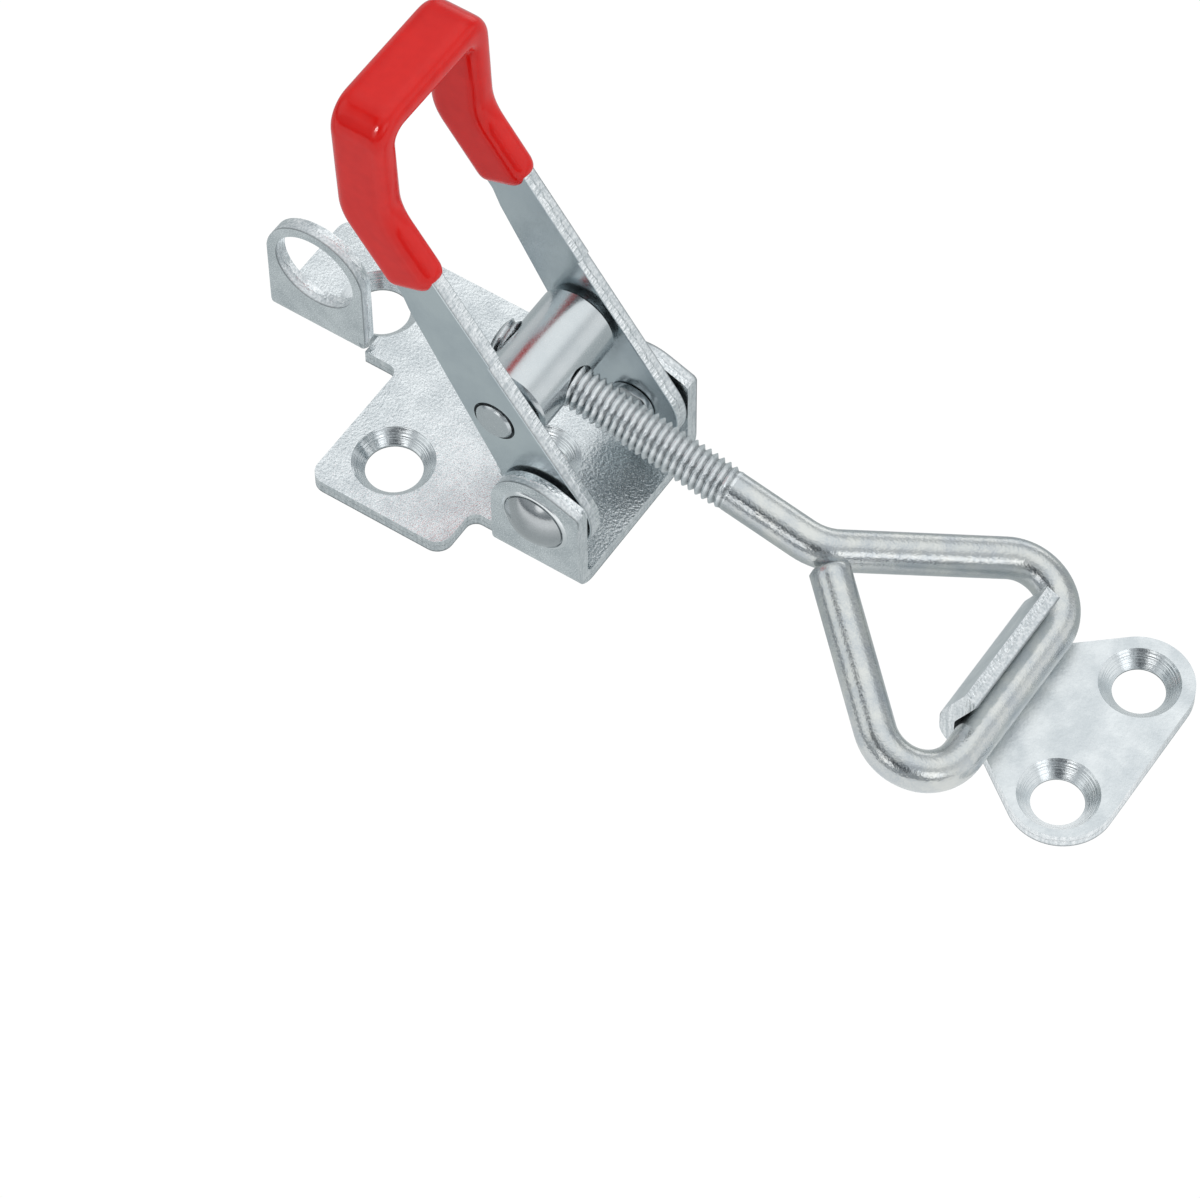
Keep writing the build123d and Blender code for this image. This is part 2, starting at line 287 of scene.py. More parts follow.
def peelOver(tree, values):
    return useGroup(tree, orangePeel, [("Vector", objectVector(tree)),
                                       ("Dimple Size", values["dimpleScale"]),
                                       ("Cloud Size", values["cloudScale"]),
                                       ("Speckle", values["speckle"])])


def feedShader(tree, shader, colour, rough, normal, metallic=1.0):
    tree.links.new(colour, shader.inputs["Base Color"])
    tree.links.new(rough, shader.inputs["Roughness"])
    tree.links.new(normal, shader.inputs["Normal"])
    shader.inputs["Metallic"].default_value = metallic


def zincSheetMaterial(name, values):
    material, tree, shader = newMaterial(name)
    peel = peelOver(tree, values)
    feedShader(tree, shader,
               toneOver(tree, peel["Clouds"], values, sheetSpan),
               mapValue(tree, peel["Specks"], values["smooth"], values["rough"]),
               bumpFrom(tree, peel["Height"], values))
    return material


def shearedEdgeMaterial(name, values):
    material, tree, shader = newMaterial(name)
    depth = attributeValue(tree, "edgeDepth")
    marks = useGroup(tree, shearMarks, [("Vector", objectVector(tree)), ("Stretch", values["stretch"]),
                                        ("Line Size", values["lineScale"]), ("Depth", depth)])
    cut = toneOver(tree, marks["Bright"], values, cutSpan)
    burr = mapValue(tree, depth, 0.0, shear["burrCover"], shear["burrFrom"], shear["burrTo"])
    feedShader(tree, shader,
               mixColours(tree, burr, cut, (*values["burr"], 1.0)),
               mapValue(tree, marks["Torn"], values["smooth"], values["rough"], 0.0, 1.0),
               bumpFrom(tree, marks["Height"], values))
    return material


def ringMaterial(name, values, axisPoint=None):
    # rings about the Y axis through axisPoint, or by the piece's own ring attribute where none is given
    material, tree, shader = newMaterial(name)
    if axisPoint is None:
        radius = attributeValue(tree, "ringRadius")
    else:
        centred = addNode(tree, "ShaderNodeMapping", [("Vector", objectVector(tree))])
        centred.inputs["Location"].default_value = (-axisPoint.x, 0.0, -axisPoint.z)
        flat = addNode(tree, "ShaderNodeVectorMath", [(0, centred.outputs[0]), (1, (1.0, 0.0, 1.0))],
                       operation="MULTIPLY")
        radius = addNode(tree, "ShaderNodeVectorMath", [(0, flat.outputs[0])],
                         operation="LENGTH").outputs["Value"]
    turning = useGroup(tree, toolRings, [("Radius", radius), ("Ring Pitch", values["ringPitch"])])
    peel = peelOver(tree, values)
    under = bumpFrom(tree, peel["Height"], values, values["underBump"])
    feedShader(tree, shader,
               toneOver(tree, peel["Clouds"], values, turnedSpan),
               mapValue(tree, peel["Specks"], values["smooth"], values["rough"]),
               bumpFrom(tree, turning["Height"], values, under=under))
    return material


def threadMaterial(name, values):
    # painted shade: the thread's roots are darkened under bright crests, by the height of the thread
    material, tree, shader = newMaterial(name)
    peel = peelOver(tree, values)
    crest = toneOver(tree, peel["Clouds"], values, turnedSpan)
    # the crest tone takes over with height; below it the painted root shade shows
    cover = mapValue(tree, attributeValue(tree, "threadRise"), 0.0, 1.0, 0.0, values["crestFrom"])
    feedShader(tree, shader,
               mixColours(tree, cover, (*values["paintedRootShade"], 1.0), crest),
               mapValue(tree, peel["Specks"], values["smooth"], values["rough"]),
               bumpFrom(tree, peel["Height"], values))
    return material


def vinylMaterial(name, values):
    material, tree, shader = newMaterial(name)
    peel = peelOver(tree, values)
    feedShader(tree, shader,
               toneOver(tree, peel["Clouds"], values, turnedSpan),
               mapValue(tree, peel["Clouds"], values["smooth"], values["rough"]),
               bumpFrom(tree, peel["Height"], values), metallic=0.0)
    shader.inputs["IOR"].default_value = values["ior"]
    return material


leverPivot = jointAt("lever_hinge")
barrelPivot = jointAt("barrel_swivel")
zinc = {"dark": (0.66, 0.70, 0.72), "light": (0.84, 0.87, 0.88)}
turnedSkin = {"dimpleScale": 2600.0, "cloudScale": 300.0, "speckle": 0.4, "underBump": 0.4}
plateZinc = zincSheetMaterial("plateZinc", {
    "dark": (0.60, 0.64, 0.66), "light": (0.90, 0.93, 0.94), "dimpleScale": 2300.0, "cloudScale": 260.0,
    "speckle": 0.6, "smooth": 0.16, "rough": 0.28, "bump": 1.0, "bumpDepth": 0.00008})
strikeZinc = zincSheetMaterial("strikeZinc", {
    **zinc, "dimpleScale": 2300.0, "cloudScale": 200.0, "speckle": 0.3, "smooth": 0.32, "rough": 0.44,
    "bump": 0.5, "bumpDepth": 0.00007})
# the lever's darker zinc is painted shade, standing in for the shade on its upright faces
stripZincShaded = zincSheetMaterial("stripZincShaded", {
    "dark": (0.54, 0.60, 0.63), "light": (0.62, 0.68, 0.70), "dimpleScale": 2600.0, "cloudScale": 90.0,
    "speckle": 0.1, "smooth": 0.18, "rough": 0.26, "bump": 0.2, "bumpDepth": 0.00003})
rodZinc = zincSheetMaterial("rodZinc", {
    "dark": (0.50, 0.53, 0.55), "light": (0.64, 0.65, 0.63), "dimpleScale": 2700.0, "cloudScale": 300.0,
    "speckle": 0.3, "smooth": 0.12, "rough": 0.22, "bump": 1.0, "bumpDepth": 0.00005})
weldZinc = zincSheetMaterial("weldZinc", {
    "dark": (0.68, 0.71, 0.72), "light": (0.78, 0.80, 0.80), "dimpleScale": 2500.0, "cloudScale": 900.0,
    "speckle": 0.4, "smooth": 0.36, "rough": 0.50, "bump": 1.0, "bumpDepth": 0.00010})
# its root colour is painted shade for the thread's grooves
threadZinc = threadMaterial("threadZinc", {
    "dark": (0.62, 0.66, 0.68), "light": (0.84, 0.86, 0.87), "paintedRootShade": (0.37, 0.39, 0.40),
    "crestFrom": 0.6, "dimpleScale": 2600.0, "cloudScale": 700.0, "speckle": 0.4,
    "smooth": 0.17, "rough": 0.30, "bump": 0.9, "bumpDepth": 0.00007})
plateEdge = shearedEdgeMaterial("plateEdge", {
    "dark": (0.60, 0.64, 0.66), "light": (0.88, 0.90, 0.91), "burr": (0.20, 0.22, 0.23),
    "stretch": (1.0, 1.0, 0.12), "lineScale": 2600.0, "smooth": 0.20, "rough": 0.42, "bump": 0.9,
    "bumpDepth": 0.00012})
stripEdge = shearedEdgeMaterial("stripEdge", {
    "dark": (0.60, 0.64, 0.66), "light": (0.92, 0.94, 0.95), "burr": (0.30, 0.32, 0.33),
    "stretch": (1.0, 0.12, 1.0), "lineScale": 2900.0, "smooth": 0.20, "rough": 0.42, "bump": 0.9,
    "bumpDepth": 0.00012})
sinkZinc = ringMaterial("sinkZinc", {
    **zinc, **turnedSkin, "ringPitch": 0.00016, "smooth": 0.10, "rough": 0.22, "bump": 0.8,
    "bumpDepth": 0.00005})
barrelZinc = ringMaterial("barrelZinc", {
    **turnedSkin, "dark": (0.54, 0.58, 0.60), "light": (0.64, 0.67, 0.68), "ringPitch": 0.00018,
    "smooth": 0.18, "rough": 0.28, "bump": 0.3, "bumpDepth": 0.00003}, barrelPivot)
# the rivet head's darker zinc is painted shade on the dome
rivetZincShaded = ringMaterial("rivetZincShaded", {
    **turnedSkin, "dark": (0.43, 0.45, 0.46), "light": (0.57, 0.59, 0.60), "ringPitch": 0.0003,
    "smooth": 0.12, "rough": 0.22, "bump": 0.2, "bumpDepth": 0.00003}, leverPivot)
# the lip's pale zinc is a painted highlight round the rivet head
rivetLipZincLit = ringMaterial("rivetLipZincLit", {
    **turnedSkin, "dark": (0.74, 0.77, 0.78), "light": (0.88, 0.90, 0.91), "ringPitch": 0.0003,
    "smooth": 0.12, "rough": 0.20, "bump": 0.2, "bumpDepth": 0.00003}, leverPivot)
redVinyl = vinylMaterial("redVinyl", {
    "dark": (0.74, 0.006, 0.004), "light": (0.88, 0.012, 0.008), "dimpleScale": 260.0, "cloudScale": 60.0,
    "speckle": 0.4, "smooth": 0.11, "rough": 0.19, "bump": 0.2, "bumpDepth": 0.0002, "ior": 1.40})
print("materials made")


# Base plate and strike plate: the folded sheets, with softened edges and their cut faces told apart

plate = {"sheet": 2.1 * mm, "foldOuter": 3.4 * mm, "edgeRound": 0.16 * mm, "topRound": 0.42 * mm,
         "sinkRadius": 5.5 * mm, "strikeSinkRadius": 5.25 * mm, "sinkMargin": 0.3 * mm,
         "earHalfWidth": 6.65 * mm, "earStartY": 10.1 * mm, "earOuterY": 13.6 * mm,
         "lockEarFrontX": -37.2 * mm, "lockEarTopY": 5.4 * mm, "lockEarOuterY": 1.9 * mm,
         "lipOuterX": 56.0 * mm, "lipEndX": 62.4 * mm, "lipAngle": radians(61.5), "lipTopZ": 8.0 * mm,
         "lipTopFacing": 0.9, "near": 0.1 * mm, "level": 0.01 * mm,
         # shares of a face's normal, which tell a cut edge from a broad face, and a countersink
         "edgeTilt": 0.6, "sinkTiltLow": 0.3, "sinkTiltHigh": 0.97}
faceSlot, cutSlot, sinkSlot = 0, 1, 2
alongX, alongY = 0, 1


def holesOfBase():
    names = ("base_wing_screw_hole", "base_front_screw_hole", "base_tongue_screw_hole")
    return [Vector(mountAt(n)["pos_m"]) for n in names]


def holesOfStrike():
    mount = mountAt("strike_screw_holes")
    centre = Vector(mount["pos_m"])
    half = Vector((0, mount["dims"]["spacing_y_mm"] * mm / 2, 0))
    return [centre - half, centre + half]


def nearestHole(point, holes):
    return min((point.xy - h.xy).length for h in holes)


def rollOver(bm, holes, sinkRadius):
    # the punch draws the sheet's top edge down in a wider round, but not at the countersinks
    def isTopOutline(edge):
        ends = [v.co for v in edge.verts]
        return (all(abs(p.z - plate["sheet"]) < plate["level"] for p in ends)
                and nearestHole((ends[0] + ends[1]) / 2, holes) > sinkRadius + plate["sinkMargin"])

    softenEdges(bm, plate["topRound"], segments=4, wanted=isTopOutline)
    softenEdges(bm, plate["edgeRound"], segments=2)


def baseFold(point):
    frontEar = abs(point.x) < plate["earHalfWidth"] and abs(point.y) > plate["earStartY"]
    lockEar = point.x < plate["lockEarFrontX"] + plate["near"] and point.y < plate["lockEarTopY"]
    return frontEar or lockEar


def strikeFold(point):
    return point.x < plate["lipEndX"]


def depthOfFold(point):
    # how far in from the outer face of the upright sheet, as a share of its thickness
    if abs(point.x) < plate["earHalfWidth"]:
        return (plate["earOuterY"] - abs(point.y)) / plate["sheet"]
    if point.x < 0:
        return (point.y - plate["lockEarOuterY"]) / plate["sheet"]
    return (point.x - plate["lipOuterX"]) / plate["sheet"]


def sortPlateFaces(bm, holes, sinkRadius, isFoldedPart, rimAxis):
    # rimAxis is the way that the cut sides of the upright parts face
    ring = bm.verts.layers.float.new("ringRadius")
    through = bm.verts.layers.float.new("edgeDepth")
    for vert in bm.verts:
        vert[ring] = nearestHole(vert.co, holes)
        upright = isFoldedPart(vert.co) and vert.co.z > plate["foldOuter"]
        vert[through] = 1 - depthOfFold(vert.co) if upright else 1 - vert.co.z / plate["sheet"]
    for face in bm.faces:
        centre = face.calc_center_median()
        tilt = abs(face.normal.z)
        inSink = (nearestHole(centre, holes) < sinkRadius + plate["near"]
                  and plate["sinkTiltLow"] < tilt < plate["sinkTiltHigh"]
                  and centre.z < plate["sheet"] + plate["near"] / 2)
        if inSink:
            face.material_index = sinkSlot
        elif isFoldedPart(centre):
            face.material_index = cutSlot if abs(face.normal[rimAxis]) > plate["edgeTilt"] else faceSlot
        else:
            face.material_index = cutSlot if tilt < plate["edgeTilt"] else faceSlot


def flagEarRims(bm):
    # above the folds the ears stand upright, and their rims face along X or Z
    for face in bm.faces:
        centre = face.calc_center_median()
        onRim = abs(face.normal.y) < plate["edgeTilt"]
        if baseFold(centre) and centre.z > plate["foldOuter"] and onRim:
            face.material_index = cutSlot


def flagLipTop(bm):
    # the lip's top is a cut edge too, square to the way it leans
    along = Vector((cos(plate["lipAngle"]), 0, sin(plate["lipAngle"])))
    through = Vector((along.z, 0, -along.x))
    depth = bm.verts.layers.float["edgeDepth"]
    top = [f for f in bm.faces if f.calc_center_median().z > plate["lipTopZ"]
           and f.normal.dot(along) > plate["lipTopFacing"]]
    rim = {v for f in top for v in f.verts}
    start = min(v.co.dot(through) for v in rim)
    for vert in rim:
        vert[depth] = (vert.co.dot(through) - start) / plate["sheet"]
    for face in top:
        face.material_index = cutSlot


def makeBasePlate():
    bm = mergedCopy("base_plate")
    holes = holesOfBase()
    rollOver(bm, holes, plate["sinkRadius"])
    sortPlateFaces(bm, holes, plate["sinkRadius"], baseFold, alongX)
    flagEarRims(bm)
    finishPiece(bm, "basePlate", [plateZinc, plateEdge, sinkZinc], "base", ["base_plate"])


def makeStrikePlate():
    bm = mergedCopy("strike_plate")
    holes = holesOfStrike()
    rollOver(bm, holes, plate["strikeSinkRadius"])
    sortPlateFaces(bm, holes, plate["strikeSinkRadius"], strikeFold, alongY)
    flagLipTop(bm)
    finishPiece(bm, "strikePlate", [strikeZinc, plateEdge, sinkZinc], "hook",
                ["strike_plate"])


makeBasePlate()
makeStrikePlate()


# Lever: the folded strip, its broad faces smooth and its edges sheared

leverLook = {"edgeRound": 0.2 * mm, "armInnerY": 8.8 * mm, "sheet": 2.2 * mm, "crispRadius": 3.3 * mm,
             "edgeTilt": 0.6}


def onBarrelAxis(point):
    return Vector((point.x, 0, point.z)) - barrelPivot


def awayFromTrunnion(edge):
    # the trunnion's holes keep their sharp rims, so that the gap round the trunnion stays dark
    return any(onBarrelAxis(v.co).length > leverLook["crispRadius"] for v in edge.verts)


def makeLever():
    bm = mergedCopy("lever")
    softenEdges(bm, leverLook["edgeRound"], segments=3, wanted=awayFromTrunnion)
    depth = bm.verts.layers.float.new("edgeDepth")
    for vert in bm.verts:
        vert[depth] = (abs(vert.co.y) - leverLook["armInnerY"]) / leverLook["sheet"]
    for face in bm.faces:
        face.material_index = cutSlot if abs(face.normal.y) < leverLook["edgeTilt"] else faceSlot
    finishPiece(bm, "leverStrip", [stripZincShaded, stripEdge], "lever", ["lever"])


makeLever()


# Grip: the dipped sleeve, its edges flowed soft

gripLook = {"voxel": 0.34 * mm, "passes": 4, "smoothing": 0.5, "onLever": 0.06 * mm,
            # the near upper corner, where the gloss shows most
            "corner": Vector((-33, -8, 66)) * mm}


def closeCavity(bm):
    # the hollow that holds the lever is taken out and its mouths closed, so that the thin wall at the toe
    # can't tear when the skin is evened out
    metal = mergedCopy("lever")
    near = BVHTree.FromBMesh(metal)
    metal.free()
    cavity = [f for f in bm.faces if near.find_nearest(f.calc_center_median())[3] < gripLook["onLever"]]
    bmesh.ops.delete(bm, geom=cavity, context="FACES")
    bmesh.ops.holes_fill(bm, edges=[e for e in bm.edges if e.is_boundary], sides=0)
    bmesh.ops.recalc_face_normals(bm, faces=bm.faces[:])
    print("cavity faces closed:", len(cavity))


def softGrip():
    bm = mergedCopy("grip")
    closeCavity(bm)
    mesh = bpy.data.meshes.new("gripShape")
    bm.to_mesh(mesh)
    bm.free()
    source = bpy.data.objects.new("gripShape", mesh)
    scene.collection.objects.link(source)
    remesh = source.modifiers.new("evenSkin", "REMESH")
    remesh.mode = "VOXEL"
    remesh.voxel_size = gripLook["voxel"]
    evaluated = source.evaluated_get(bpy.context.evaluated_depsgraph_get())
    soft = bmesh.new()
    soft.from_mesh(evaluated.to_mesh())
    bpy.data.objects.remove(source)
    for smoothPass in range(gripLook["passes"]):
        bmesh.ops.smooth_vert(soft, verts=soft.verts[:], factor=gripLook["smoothing"], use_axis_x=True,
                              use_axis_y=True, use_axis_z=True)
    return finishPiece(soft, "gripSleeve", [redVinyl], "lever", ["grip"], creaseAngle=80,
                       weighted=False)


gripSleeve = softGrip()


# Barrel nut and rivets

turned = {"barrelRound": 0.1 * mm, "rivetRound": 0.12 * mm, "rivetSharp": 50, "discStartY": 10.3 * mm,
          "discShrink": 0.94, "tailInnerY": 8.5 * mm, "peenStart": 2.2 * mm, "peenDepth": 0.16 * mm,
          "peenCount": 7, "lipSteps": 96,
          # the lip that the heading die raises round the head: radius, then height off the ear
          "lip": [(4.31, -0.02), (4.36, 0.14), (4.46, 0.24), (4.60, 0.23), (4.80, 0.10), (4.96, -0.02)]}
headSlot, lipSlot = 0, 1


def peenTail(bm):
    # the tail inside the ears is spread by a notched punch, which leaves a ring of dents
    for vert in bm.verts:
        spoke = vert.co - leverPivot
        turn = atan2(spoke.z, spoke.x)
        reach = Vector((spoke.x, 0, spoke.z)).length
        if abs(vert.co.y) < turned["tailInnerY"] and reach > turned["peenStart"]:
            dent = turned["peenDepth"] * cos(turned["peenCount"] * turn)
            vert.co.y += dent if vert.co.y > 0 else -dent


def raisedLip(bm, facing):
    outline = [Vector((radius * mm, facing * (plate["earOuterY"] + height * mm), 0))
               for radius, height in turned["lip"]]
    verts = [bm.verts.new(leverPivot + point) for point in outline]
    edges = [bm.edges.new(pair) for pair in zip(verts, verts[1:])]
    headFaces = set(bm.faces)
    bmesh.ops.spin(bm, geom=verts + edges, cent=leverPivot, axis=(0, 1, 0), angle=2 * pi,
                   steps=turned["lipSteps"], use_merge=True)
    lipFaces = [f for f in bm.faces if f not in headFaces]
    if sum(f.normal.y * facing for f in lipFaces) < 0:
        bmesh.ops.reverse_faces(bm, faces=lipFaces)
    for face in bm.faces:
        face.material_index = headSlot if face in headFaces else lipSlot


def makeBarrelNut():
    bm = mergedCopy("barrel_nut")
    softenEdges(bm, turned["barrelRound"], segments=2)
    for vert in bm.verts:
        if abs(vert.co.y) > turned["discStartY"]:
            vert.co += onBarrelAxis(vert.co) * (turned["discShrink"] - 1)
    finishPiece(bm, "barrelNut", [barrelZinc], "barrel", ["barrel_nut"])


def makeRivet(side, facing):
    bm = mergedCopy(side + "_pivot_rivet")
    softenEdges(bm, turned["rivetRound"], segments=3, sharpAngle=turned["rivetSharp"])
    peenTail(bm)
    raisedLip(bm, facing)
    finishPiece(bm, side + "PivotRivet", [rivetZincShaded, rivetLipZincLit], "base",
                [side + "_pivot_rivet"])


makeBarrelNut()
makeRivet("near", -1)
makeRivet("far", 1)


# Hook: a rolled thread, then the same rod bent into a triangle

hook = {"boltAngle": radians(11.46), "boltY": -0.3 * mm, "tail": 6.6 * mm, "threadEnd": 29.0 * mm,
        "apex": 42.5 * mm, "apexBend": 7.0 * mm, "triangleAngle": radians(20.4), "triangleY": 0.05 * mm,
        "limbAngle": radians(39.9), "triangleLength": 28.9 * mm, "triangleBend": 6.3 * mm,
        "limbGap": 2.4 * mm, "rodRadius": 2.675 * mm, "crestRadius": 2.94 * mm, "rootRadius": 2.42 * mm,
        "pitch": 1.0 * mm, "stepsPerTurn": 36, "runOut": 1.6 * mm, "leadIn": 0.8 * mm,
        "leadInDepth": 0.9, "threadMerge": 0.003 * mm, "centreReach": 0.1 * mm,
        "ringSides": 40, "straightStep": 1.5 * mm, "bendStep": radians(5), "endChamfer": 0.45 * mm,
        "weldRadius": 1.4 * mm, "weldSwell": 1.04,
        # the bead's lumps and its finer grain: how high, then how close together
        "weldLumps": (0.3, 1300), "weldGrain": (0.12, 4200)}
threadSlot, weldSlot = 1, 2  # the plain rod keeps slot 0
sideways = Vector((0, 1, 0))
barrelAxis = barrelPivot + sideways * hook["boltY"]
boltDir = Vector((cos(hook["boltAngle"]), 0, -sin(hook["boltAngle"])))
triangleDir = Vector((cos(hook["triangleAngle"]), 0, -sin(hook["triangleAngle"])))
apexPoint = barrelAxis + boltDir * hook["apex"]
triangleStart = Vector((apexPoint.x, hook["triangleY"], apexPoint.z))
limbSpread = hook["triangleLength"] * tan(hook["limbAngle"])
apexShift = (hook["triangleY"] - hook["boltY"]) / tan(hook["limbAngle"])
limbDir = triangleDir * cos(hook["limbAngle"]) - sideways * sin(hook["limbAngle"])


def shareOf(value):
    return max(0.0, min(1.0, value))


def spunThread():
    # one tooth of the thread, wound along the rod and then cut off square at both ends
    bm = bmesh.new()
    start = barrelAxis - boltDir * (hook["tail"] + hook["pitch"])
    outward = boltDir.cross(sideways).normalized()
    profile = [(0.0, 0.0), (0.07, 0.02), (0.44, 0.94), (0.5, 1.0), (0.56, 0.94), (0.93, 0.02), (1.0, 0.0)]
    depth = hook["crestRadius"] - hook["rootRadius"]
    verts = [bm.verts.new(start + boltDir * (along * hook["pitch"])
                          + outward * (hook["rootRadius"] + depth * rise)) for along, rise in profile]
    edges = [bm.edges.new(pair) for pair in zip(verts, verts[1:])]
    turns = ceil((hook["tail"] + hook["threadEnd"]) / hook["pitch"]) + 2
    bmesh.ops.spin(bm, geom=verts + edges, cent=start, axis=boltDir,
                   dvec=boltDir * (hook["pitch"] / hook["stepsPerTurn"]),
                   angle=2 * pi * turns, steps=turns * hook["stepsPerTurn"], use_merge=False)
    bmesh.ops.remove_doubles(bm, verts=bm.verts[:], dist=hook["threadMerge"])
    tailPoint = barrelAxis - boltDir * hook["tail"]
    endPoint = barrelAxis + boltDir * hook["threadEnd"]
    for point, normal in ((tailPoint, -boltDir), (endPoint, boltDir)):
        cut = bmesh.ops.bisect_plane(bm, geom=bm.verts[:] + bm.edges[:] + bm.faces[:], plane_co=point,
                                     plane_no=normal, clear_outer=True)
        rim = [e for e in cut["geom_cut"] if isinstance(e, bmesh.types.BMEdge)]
        bmesh.ops.edgeloop_fill(bm, edges=rim)
    return bm


def rolledThread():
    # the wound thread runs out into the plain rod at one end and narrows to a lead at the other
    bm = spunThread()
    depth = hook["crestRadius"] - hook["rootRadius"]
    rise = bm.verts.layers.float.new("threadRise")
    for vert in bm.verts:
        along = (vert.co - barrelAxis).dot(boltDir)
        axisPoint = barrelAxis + boltDir * along
        spoke = vert.co - axisPoint
        if spoke.length < hook["centreReach"]:
            continue
        vert[rise] = (spoke.length - hook["rootRadius"]) / depth
        runOut = shareOf((along - hook["threadEnd"] + hook["runOut"]) / hook["runOut"])
        leadIn = shareOf((hook["leadIn"] - along - hook["tail"]) / hook["leadIn"])
        radius = spoke.length * (1 - runOut) + hook["rodRadius"] * runOut
        radius -= leadIn * depth * hook["leadInDepth"]
        vert.co = axisPoint + spoke.normalized() * radius
    for face in bm.faces:
        face.material_index = threadSlot
    bmesh.ops.recalc_face_normals(bm, faces=bm.faces[:])
    return bm


def extrudeRing(bm, ring):
    grown = bmesh.ops.extrude_edge_only(bm, edges=ring)["geom"]
    newVerts = {g for g in grown if isinstance(g, bmesh.types.BMVert)}
    newEdges = [g for g in grown if isinstance(g, bmesh.types.BMEdge)]
    newRing = [e for e in newEdges if all(v in newVerts for v in e.verts)]
    return newVerts, newRing


def vertsOf(edges):
    return list({v for e in edges for v in e.verts})


def runStraight(bm, ring, heading, length):
    steps = max(1, round(length / hook["straightStep"]))
    for step in range(steps):
        newVerts, ring = extrudeRing(bm, ring)
        bmesh.ops.translate(bm, verts=list(newVerts), vec=heading * (length / steps))
    return ring


def runBend(bm, ring, heading, nextDir, angle, radius, here):
    axis = heading.cross(nextDir).normalized()
    centre = here + axis.cross(heading).normalized() * radius
    steps = max(2, round(angle / hook["bendStep"]))
    spun = bmesh.ops.spin(bm, geom=ring + vertsOf(ring), cent=centre, axis=axis, angle=angle, steps=steps,
                          use_merge=False)
    return [g for g in spun["geom_last"] if isinstance(g, bmesh.types.BMEdge)]


def cutEnd(bm, ring, heading, finish):
    # a shallow chamfer, then the flat face
    rimVerts = vertsOf(ring)
    newVerts, ring = extrudeRing(bm, ring)
    for vert in rimVerts:
        vert.co -= heading * hook["endChamfer"]
    for vert in newVerts:
        vert.co = finish + (vert.co - finish).normalized() * (hook["rodRadius"] - hook["endChamfer"])
    bmesh.ops.edgeloop_fill(bm, edges=ring)


def bentRod(bm):
    # bent as wire is: run straight, turn about a centre, and so on to the cut end
    farCorner = triangleStart + triangleDir * hook["triangleLength"] + sideways * limbSpread
    nearCorner = triangleStart + triangleDir * hook["triangleLength"] - sideways * limbSpread
    finish = triangleStart + limbDir * hook["limbGap"]
    route = [apexPoint - boltDir * apexShift, farCorner, nearCorner, finish]
    radii = [hook["apexBend"], hook["triangleBend"], hook["triangleBend"]]
    here = barrelAxis + boltDir * hook["threadEnd"]
    heading = boltDir
    turnFrame = boltDir.to_track_quat("Z", "Y").to_matrix().to_4x4()
    made = bmesh.ops.create_circle(bm, cap_ends=True, segments=hook["ringSides"], radius=hook["rodRadius"],
                                   matrix=Matrix.Translation(here) @ turnFrame)
    ring = list({e for v in made["verts"] for e in v.link_edges})
    for corner, nextCorner, radius in zip(route, route[1:], radii):
        nextDir = (nextCorner - corner).normalized()
        angle = acos(max(-1, min(1, heading.dot(nextDir))))
        setback = radius * tan(angle / 2)
        target = corner - heading * setback
        ring = runStraight(bm, ring, heading, (target - here).length)
        ring = runBend(bm, ring, heading, nextDir, angle, radius, target)
        here = corner + nextDir * setback
        heading = nextDir
    ring = runStraight(bm, ring, heading, (finish - here).length)
    cutEnd(bm, ring, heading, finish)


def weldBead(bm):
    place = triangleStart + triangleDir * hook["limbGap"]
    made = bmesh.ops.create_icosphere(bm, subdivisions=4, radius=hook["weldRadius"],
                                      matrix=Matrix.Translation(place))
    for vert in made["verts"]:
        spoke = vert.co - place
        waves = sum(height * noise.noise(spoke * spacing)
                    for height, spacing in (hook["weldLumps"], hook["weldGrain"]))
        vert.co = place + spoke * (hook["weldSwell"] + waves)
    for face in {f for v in made["verts"] for f in v.link_faces}:
        face.material_index = weldSlot


def makeHook():
    rod = bmesh.new()
    bentRod(rod)
    weldBead(rod)
    bmesh.ops.recalc_face_normals(rod, faces=rod.faces[:])
    rodShape = bpy.data.meshes.new("rodShape")
    rod.to_mesh(rodShape)
    rod.free()
    bm = rolledThread()
    bm.from_mesh(rodShape)
    bpy.data.meshes.remove(rodShape)
    finishPiece(bm, "hookBolt", [rodZinc, threadZinc, weldZinc], "hook", ["hook_bolt"],
                creaseAngle=50, weighted=False)


makeHook()


# Floor, lights and camera

